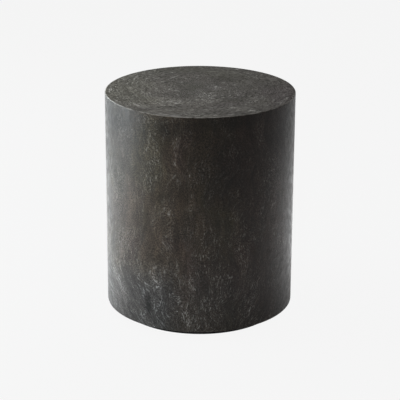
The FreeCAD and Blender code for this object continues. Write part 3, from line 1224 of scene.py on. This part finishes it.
@dataclass
class Drum:
    """The drum's outer skin: the wrapped timber sheet and the mitred timber top.

    Attributes:
        radius: The drum's radius.
        foot: The height of the wall's lower edge.
        top: The height of the top.
        facing_foot: The height of the top facing's underside.
        rim_round: The rounding of the top's rim.
        foot_round: The rounding of the wall's lower edge.
        round_parts: How many short edges stand for each rounding.
        seam_gap: How far apart the two ends of the sheet are.
        seam_angle: Where they meet: at the back.
        sections: How many sections there are round the drum.
        wall_step: The longest stretch without a point up the wall.
        top_step: The longest stretch without a point across the top.
    """

    radius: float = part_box("side_facing")[1].x
    foot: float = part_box("side_facing")[0].z
    top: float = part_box("top_facing")[1].z
    facing_foot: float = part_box("top_facing")[0].z
    rim_round: float = 2.0 * MM
    foot_round: float = 1.5 * MM
    round_parts: int = 4
    seam_gap: float = 0.3 * MM
    seam_angle: float = 90.0
    sections: int = 480
    wall_step: float = 3.0 * MM
    top_step: float = 2.6 * MM

    @property
    def inner(self) -> float:
        """The radius of the facing's inner face."""
        return self.radius - (self.top - self.facing_foot)

    @property
    def rim_centre(self) -> Pair:
        """The centre of the eased rim's round."""
        return self.radius - self.rim_round, self.top - self.rim_round

    def make_top(self) -> bpy.types.Object:
        """Turns the top facing.

        Returns:
            The finished piece.
        """
        outline = Outline([(0.0, self.facing_foot)]).line(self.inner, self.facing_foot)
        outline.arc(self.rim_centre, self.rim_round, 45.0, 90.0, self.round_parts)
        outline.line(0.0, self.top, self.top_step)
        piece = turn("timber_top", outline, self.sections, self.seam_angle)
        finish = LimedTimber(
            Grain.RINGS,
            TOP_FLECKS,
            TOP_CALM,
            TOP_STAIN_SHADE_AND_LIGHT,
            pores=(330.0, 260.0),
            least_crowd=0.34,
            contrast=0.5,
            patched=0.09,
            streaked=0.06,
            stroke_length=2.2,
            limed=1.35,
            gloss=0.04,
            roughness=(0.6, 0.7),
            relief=0.5 * MM,
            # The top's colours are lighter than the wall's: partly painted light, standing in for the sheen
            # that its low gloss leaves out
            brown=srgb(50, 47, 43),
            olive=srgb(50, 48, 42),
            plum=srgb(50, 45, 44),
            lime=srgb(160, 157, 152),
        )
        dress(piece, finish.material("limed_rings"))
        seat(piece, "facing", "top_facing")
        return piece

    def make_wall(self) -> bpy.types.Object:
        """Turns the wrapped sheet from one side of its seam to the other.

        Returns:
            The finished piece.
        """
        foot_centre = (self.radius - self.foot_round, self.foot + self.foot_round)
        outline = Outline([(self.inner, self.facing_foot)]).line(self.inner, self.foot)
        outline.arc(foot_centre, self.foot_round, -90.0, 0.0, self.round_parts)
        outline.line(self.radius, self.rim_centre[1], self.wall_step)
        # The rim's round starts with the point that this stretch ends with
        outline.points.pop()
        outline.arc(self.rim_centre, self.rim_round, 0.0, 45.0, self.round_parts)
        gap_angle = math.degrees(self.seam_gap / self.radius)
        start = self.seam_angle + gap_angle / 2
        piece = turn("timber_wall", outline, self.sections, start, FULL_TURN - gap_angle)
        self._lay_sheet_map(piece)
        finish = LimedTimber(
            Grain.UPRIGHT,
            WALL_FLECKS,
            WALL_CALM,
            WALL_STAIN_SHADE_AND_LIGHT,
            foot_crowd_and_light=0.5,
            plum_shifts=(0.05, -0.16),
        )
        dress(piece, finish.material("limed_upright"))
        seat(piece, "facing", "side_facing")
        return piece

    def _lay_sheet_map(self, piece: bpy.types.Object) -> None:
        """Unrolls the wall onto the flat sheet that it was bent from, in metres.

        Args:
            piece: The wall.
        """
        layer = piece.data.uv_layers.new(name=SHEET_MAP)
        places = piece.data.vertices
        for loop in piece.data.loops:
            place = places[loop.vertex_index].co
            angle = math.atan2(place.x, -place.y)
            layer.data[loop.index].uv = (angle * self.radius, place.z)

    def build(self) -> None:
        """Builds both facings."""
        self.make_top()
        self.make_wall()


@dataclass
class Screw:
    """A countersunk wood screw that is driven upwards, its cross-slotted head face down.

    Attributes:
        head: The head's diameter.
        shank: The shank's diameter.
        length: The screw's length.
        face: The height of its head's face.
        tip: How long its point is.
        pitch: The rise of one turn of its thread.
        thread_share: How thick the thread's root is, as a share of the shank.
        slot_long: How long each slot is, as a share of the head.
        slot_wide: How wide each slot is at the face, as a share of the head.
        slot_deep: How deep each slot is, as a share of what the head is wider than the shank.
        slot_taper: How much of its length and width each slot keeps at its bottom.
        steps: How many sections there are round the screw.
    """

    head: float
    shank: float
    length: float
    face: float
    tip: float = 5.0 * MM
    pitch: float = 1.6 * MM
    thread_share: float = 0.75
    slot_long: float = 0.62
    slot_wide: float = 0.14
    slot_deep: float = 0.55
    slot_taper: float = 0.5
    steps: int = 32

    def make(self, name: str, radius: float, angles: Iterable[float]) -> bpy.types.Object:
        """Makes the screws of one set.

        Args:
            name: The piece's name.
            radius: The radius of the circle that they stand on.
            angles: The angle of each screw on it.

        Returns:
            All of them, as one piece.
        """
        head, shank, root = self.head / 2, self.shank / 2, self.thread_share * self.shank / 2
        outline = Outline([(0.0, self.face)]).line(head, self.face)
        height = self.face + head - shank
        outline.line(shank, height)
        end = self.face + self.length - self.tip
        while height + 2 * self.pitch < end:
            height += self.pitch
            outline.line(root, height - self.pitch / 2).line(shank, height)
        outline.line(root, end).line(0.0, self.face + self.length)
        screw = turn(name, outline, self.steps)
        cut(screw, *self._slot_cutters())
        settle(screw)
        hold(*set_out(screw, radius, angles))
        bpy.ops.object.join()
        joined = bpy.context.object
        joined.name = name
        return joined

    def _slot_cutters(self) -> list[bpy.types.Object]:
        """Makes the two crossing wedges that cut the slots of the head.

        Returns:
            The wedges.
        """
        cutters = []
        depth = self.slot_deep * (self.head - self.shank)
        for angle in (0.0, 90.0):
            clear_bench()
            bpy.ops.mesh.primitive_cube_add(size=1.0, location=(0, 0, self.face))
            wedge = bpy.context.object
            wedge.scale = (self.slot_long * self.head, self.slot_wide * self.head, 2 * depth)
            wedge.rotation_euler.z = math.radians(angle)
            fix_place(wedge)
            bpy.ops.object.mode_set(mode="EDIT")
            mesh = bmesh.from_edit_mesh(wedge.data)
            for vertex in mesh.verts:
                vertex.select = vertex.co.z > self.face
            mesh.select_flush_mode()
            taper = (self.slot_taper, self.slot_taper, 1.0)
            bpy.ops.transform.resize(value=taper, center_override=(0, 0, self.face))
            bpy.ops.object.mode_set(mode="OBJECT")
            cutters.append(wedge)
        return cutters


@dataclass
class Foot:
    """The recessed plinth, its four glides, and the screws that show beneath.

    Attributes:
        plinth_radius: The plinth's radius.
        plinth_bottom: The height of its underside.
        plinth_top: The height of its upper face.
        edge: How far its lower edge is eased.
        plate_step: The longest stretch without a point across its faces.
        plinth_sections: How many sections there are round it.
        glide_radius: A glide's radius.
        glide_top: The height of its upper face, in its pocket.
        glide_round: The rounding of its sole.
        glide_ease: The depth of the ring on its sole, and the easing of its recess.
        ring_share: How far out that ring is, as a share of the glide's radius.
        glide_parts: How many short edges stand for the sole's rounding.
        glide_sections: How many sections there are round a glide and its pocket.
        glide_circle: The radius of the circle that the glides stand on.
        pocket_clearance: How much wider than the glide its pocket is, all round.
        plinth_screw: The screws of the plinth.
        glide_screw: The screws of the glides.
        hole_clearance: How much wider than a shank its hole is, all round.
        hole_sections: How many sections there are round a screw hole.
        screw_circle: The radius of the circle that the plinth's screws stand on.
        screw_angles: Where they stand on it.
    """

    plinth_radius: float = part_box("plinth")[1].x
    plinth_bottom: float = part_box("plinth")[0].z
    plinth_top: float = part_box("plinth")[1].z
    edge: float = 1.0 * MM
    plate_step: float = 20.0 * MM
    plinth_sections: int = 240
    glide_radius: float = 12.0 * MM
    glide_top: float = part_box("glide_front_right")[1].z
    glide_round: float = 1.5 * MM
    glide_ease: float = 0.3 * MM
    ring_share: float = 0.62
    glide_parts: int = 6
    glide_sections: int = 64
    glide_circle: float = 140.0 * MM
    pocket_clearance: float = 0.3 * MM
    plinth_screw: Screw = field(default_factory=lambda: Screw(8 * MM, 4 * MM, 30 * MM, 3 * MM))
    glide_screw: Screw = field(default_factory=lambda: Screw(6 * MM, 3 * MM, 14 * MM, 1.2 * MM))
    hole_clearance: float = 0.2 * MM
    hole_sections: int = 48
    screw_circle: float = 130.0 * MM
    screw_angles: tuple[float, ...] = (0.0, 90.0, 180.0, 270.0)

    def make_plinth(self) -> bpy.types.Object:
        """Turns the plinth and bores its pockets and screw holes.

        Returns:
            The finished piece.
        """
        outline = Outline([(0.0, self.plinth_bottom)])
        outline.line(self.plinth_radius - self.edge, self.plinth_bottom, self.plate_step)
        outline.line(self.plinth_radius, self.plinth_bottom + self.edge)
        outline.line(self.plinth_radius, self.plinth_top).line(0.0, self.plinth_top, self.plate_step)
        plinth = turn("stained_and_shaded_plinth", outline, self.plinth_sections)
        pocket = turn("pocket", self._pocket_outline(), self.glide_sections)
        cut(plinth, *set_out(pocket, self.glide_circle, CORNERS.values()))
        hole = turn("hole", self._hole_outline(), self.hole_sections)
        cut(plinth, *set_out(hole, self.screw_circle, self.screw_angles))
        settle(plinth)
        dress(plinth, BlackStainAndShade().material("stained_and_shaded_plinth"))
        seat(plinth, "black_stain", "plinth")
        return plinth

    def _pocket_outline(self) -> Outline:
        """Draws what is cut out for a glide.

        Returns:
            Its outline, from a little below the plinth up.
        """
        below = self.plinth_bottom - self.edge
        radius = self.glide_radius + self.pocket_clearance
        outline = Outline([(0.0, below)]).line(radius, below)
        return outline.line(radius, self.glide_top).line(0.0, self.glide_top)

    def _hole_outline(self) -> Outline:
        """Draws what is cut out for a screw of the plinth.

        Returns:
            Its outline, from a little below the plinth to a little under its upper face.
        """
        screw = self.plinth_screw
        below = self.plinth_bottom - self.edge
        end = self.plinth_top - self.edge
        bore = screw.shank / 2 + self.hole_clearance
        outline = Outline([(0.0, below)]).line(screw.head / 2, below).line(screw.head / 2, screw.face)
        return outline.line(bore, screw.face + screw.head / 2 - bore).line(bore, end).line(0.0, end)

    def make_glides(self) -> None:
        """Turns one glide, with the recess for its screw and a moulded ring, and copies it."""
        screw = self.glide_screw
        head = screw.head / 2
        bore = screw.shank / 2 + self.hole_clearance
        ease = self.glide_ease
        ring = self.ring_share * self.glide_radius
        outline = Outline([(bore, self.glide_top)]).line(bore, screw.face + head - bore)
        outline.line(head, screw.face).line(head, ease).line(head + ease, 0.0)
        outline.line(ring - 2 * ease, 0.0).line(ring - ease, ease).line(ring + ease, ease)
        outline.line(ring + 2 * ease, 0.0)
        centre = (self.glide_radius - self.glide_round, self.glide_round)
        outline.arc(centre, self.glide_round, -90.0, 0.0, self.glide_parts)
        outline.line(self.glide_radius, self.glide_top)
        nylon = Nylon().material("black_nylon")
        glide = turn("glide", outline, self.glide_sections)
        for copy, corner in zip(set_out(glide, self.glide_circle, CORNERS.values()), CORNERS):
            copy.name = f"nylon_glide_{corner}"
            dress(copy, nylon)
            seat(copy, "glide", f"glide_{corner}")

    def make_screws(self) -> None:
        """Makes the plinth's screws and the glides' screws."""
        zinc = ZincPlate().material("plated_heads")
        sets = {
            "plinth_screws": (self.plinth_screw, self.screw_circle, self.screw_angles),
            "glide_screws": (self.glide_screw, self.glide_circle, CORNERS.values()),
        }
        for node, (screw, radius, angles) in sets.items():
            piece = screw.make(f"plated_{node}", radius, angles)
            dress(piece, zinc)
            seat(piece, "screw", node)

    def build(self) -> None:
        """Builds the foot's pieces."""
        self.make_plinth()
        self.make_glides()
        self.make_screws()


@dataclass
class Core:
    """What the facings hide, left as it is and dressed.

    Attributes:
        plywood: The plies, the top board and the ribs.
        stained: The board under the drum.
        posts: The posts.
        screws: The screws that nothing shows.
        across_plies: How many bands there are to a metre of plywood, along X, Y and Z.
        softwood: The posts' pale colour.
    """

    plywood: tuple[str, ...] = ("outer_ply", "inner_ply", "top_board", "lower_rib", "upper_rib")
    stained: tuple[str, ...] = ("base_board",)
    posts: tuple[str, ...] = tuple(f"post_{corner}" for corner in CORNERS)
    screws: tuple[str, ...] = ("top_screws", "base_screws")
    across_plies: Triple = (14.0, 90.0, 90.0)
    softwood: Colour = srgb(214, 184, 132)

    def build(self) -> None:
        """Dresses each node in its own finish."""
        finishes = {
            RawTimber(per_metre=self.across_plies).material("raw_plywood"): self.plywood,
            RawTimber(pale=self.softwood).material("planed_softwood"): self.posts,
            BlackStainAndShade().material("stained_and_shaded_board"): self.stained,
            ZincPlate().material("plated_screws"): self.screws,
        }
        for material, names in finishes.items():
            for name in names:
                dress(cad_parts[name], material)
                log.info("%s: dressed in %s", name, material.name)


@dataclass
class Softbox:
    """One large soft lamp.

    Attributes:
        name: The lamp's name.
        azimuth: Where it stands round the table, 0 at the front and 90 at the right.
        distance: How far from the axis it stands.
        height: The height of its middle.
        width: Its width.
        tall: Its height from edge to edge.
        power: Its power in watts.
        colour: Its colour.
    """

    name: str
    azimuth: float
    distance: float
    height: float
    width: float
    tall: float
    power: float
    colour: Colour = (1.0, 1.0, 1.0)

    def build(self, aim: Vector) -> None:
        """Sets the lamp up.

        Args:
            aim: The point that it faces.
        """
        angle = math.radians(self.azimuth)
        place = Vector((self.distance * math.sin(angle), -self.distance * math.cos(angle), self.height))
        lamp = bpy.data.lights.new(self.name, "AREA")
        lamp.shape = "RECTANGLE"
        lamp.size = self.width
        lamp.size_y = self.tall
        lamp.energy = self.power
        lamp.color = self.colour
        holder = bpy.data.objects.new(self.name, lamp)
        holder.location = place
        holder.rotation_mode = "QUATERNION"
        holder.rotation_quaternion = (aim - place).to_track_quat("-Z", "Y")
        bpy.context.scene.collection.objects.link(holder)


COOL_WHITE = (0.89, 0.965, 1.0)
LAMPS = (
    Softbox("left_box", -95.0, 2.0, 0.9, 1.0, 1.6, 57.0, COOL_WHITE),
    Softbox("left_back_box", -130.0, 2.0, 0.9, 1.0, 1.6, 30.0, COOL_WHITE),
    Softbox("left_strip", -80.0, 1.6, 0.32, 1.0, 0.6, 14.3, COOL_WHITE),
    Softbox("left_low_box", -90.0, 1.2, 0.24, 0.4, 0.44, 2.6, COOL_WHITE),
    Softbox("top_box", 0.0, 0.01, 2.4, 2.0, 2.0, 30.6),
)


@dataclass
class Studio:
    """The plain pale studio: floor, backdrop, lamps and camera.

    Attributes:
        lamps: The lamps.
        backdrop: How pale the room is.
        floor_size: The floor's width.
        floor_colour: The floor's colour as it lights the table.
        floor_in_view: Its colour to the camera, which adds to the level below.
        floor_level: How pale the floor is to the camera.
        pool_near: The distances from the axis between which the floor brightens in reflections.
        pool_far: The distances between which it dims again.
        pool_levels: How bright it is there, inside, between and outside, as shares of the backdrop.
        lens: The camera's focal length in millimetres.
        sensor: Its sensor's width in millimetres.
        camera_distance: How far it stands from what it aims at.
        camera_elevation: How far it looks down.
        camera_roll: How far it is tilted about its own axis.
        camera_side: How far to the right of the axis it aims.
        target_height: The height that it aims at.
    """

    lamps: tuple[Softbox, ...] = LAMPS
    backdrop: float = 0.922
    floor_size: float = 12.0
    floor_colour: Colour = (0.8, 0.8, 0.8)
    floor_in_view: Colour = (0.012, 0.012, 0.012)
    floor_level: float = 0.905
    pool_near: Pair = (0.2, 0.5)
    pool_far: Pair = (0.85, 1.25)
    pool_levels: Triple = (0.55, 1.4, 0.5)
    lens: float = 140.6
    sensor: float = 36.0
    camera_distance: float = 3.191
    camera_elevation: float = 19.78
    camera_roll: float = 0.27
    camera_side: float = 0.5 * MM
    target_height: float = 0.2275

    def make_floor(self) -> None:
        """Lays the pale floor, which keeps the table's shadow."""
        clear_bench()
        bpy.ops.mesh.primitive_plane_add(size=self.floor_size)
        floor = bpy.context.object
        floor.name = "studio_floor"
        graph = Graph.of_material("studio_floor")
        in_view = graph.node("LightPath").outputs["Is Camera Ray"]
        colour = graph.mix(in_view, self.floor_colour, self.floor_in_view)
        level = graph.step(in_view, 0.0, 1.0, self._pool_of_light(graph), self.floor_level)
        glow = graph.node("Emission", {"Strength": graph.math("MULTIPLY", graph.seen(), level)})
        lit = graph.node("BsdfDiffuse", {"Color": colour})
        both = graph.node("AddShader", {0: lit.outputs[0], 1: glow.outputs[0]})
        dress(floor, graph.finish(both))

    def _pool_of_light(self, graph: Graph) -> Socket:
        """Spreads a soft pool of light round the table, which only reflections show.

        Args:
            graph: The floor's graph.

        Returns:
            How bright the floor is from place to place.
        """
        inside, between, outside = self.pool_levels
        away = graph.length(graph.place())
        pool = graph.step(away, *self.pool_near, inside * self.backdrop, between * self.backdrop)
        return graph.math("MULTIPLY", pool, graph.step(away, *self.pool_far, 1.0, outside / between))

    def make_world(self) -> None:
        """Shows the room pale, to the eye and in reflections. It gives no light of its own."""
        graph = Graph.of_world("studio")
        strength = graph.math("MULTIPLY", graph.seen(), self.backdrop)
        bpy.context.scene.world = graph.finish(graph.node("Background", {"Strength": strength}))

    def make_camera(self) -> None:
        """Stands the camera where the photograph was taken from."""
        tilt = math.radians(self.camera_elevation)
        target = Vector((self.camera_side, 0.0, self.target_height))
        back = Vector((0.0, -math.cos(tilt), math.sin(tilt)))
        data = bpy.data.cameras.new("camera")
        data.lens = self.lens
        data.sensor_width = self.sensor
        camera = bpy.data.objects.new("camera", data)
        roll = Matrix.Rotation(math.radians(self.camera_roll), 4, "Z")
        turned = (-back).to_track_quat("-Z", "Y").to_matrix().to_4x4()
        camera.matrix_world = Matrix.Translation(target + back * self.camera_distance) @ turned @ roll
        bpy.context.scene.collection.objects.link(camera)
        bpy.context.scene.camera = camera

    def build(self) -> None:
        """Sets the whole studio up."""
        bpy.context.scene.view_settings.view_transform = "Standard"
        self.make_camera()
        self.make_world()
        self.make_floor()
        for lamp in self.lamps:
            lamp.build(Vector((0.0, 0.0, self.target_height)))


def main() -> None:
    """Builds the studio and the table."""
    logging.basicConfig(level=logging.INFO, format="%(name)s: %(message)s")
    for assembly in (Studio(), Drum(), Foot(), Core()):
        assembly.build()


if __name__ == "__main__":
    main()
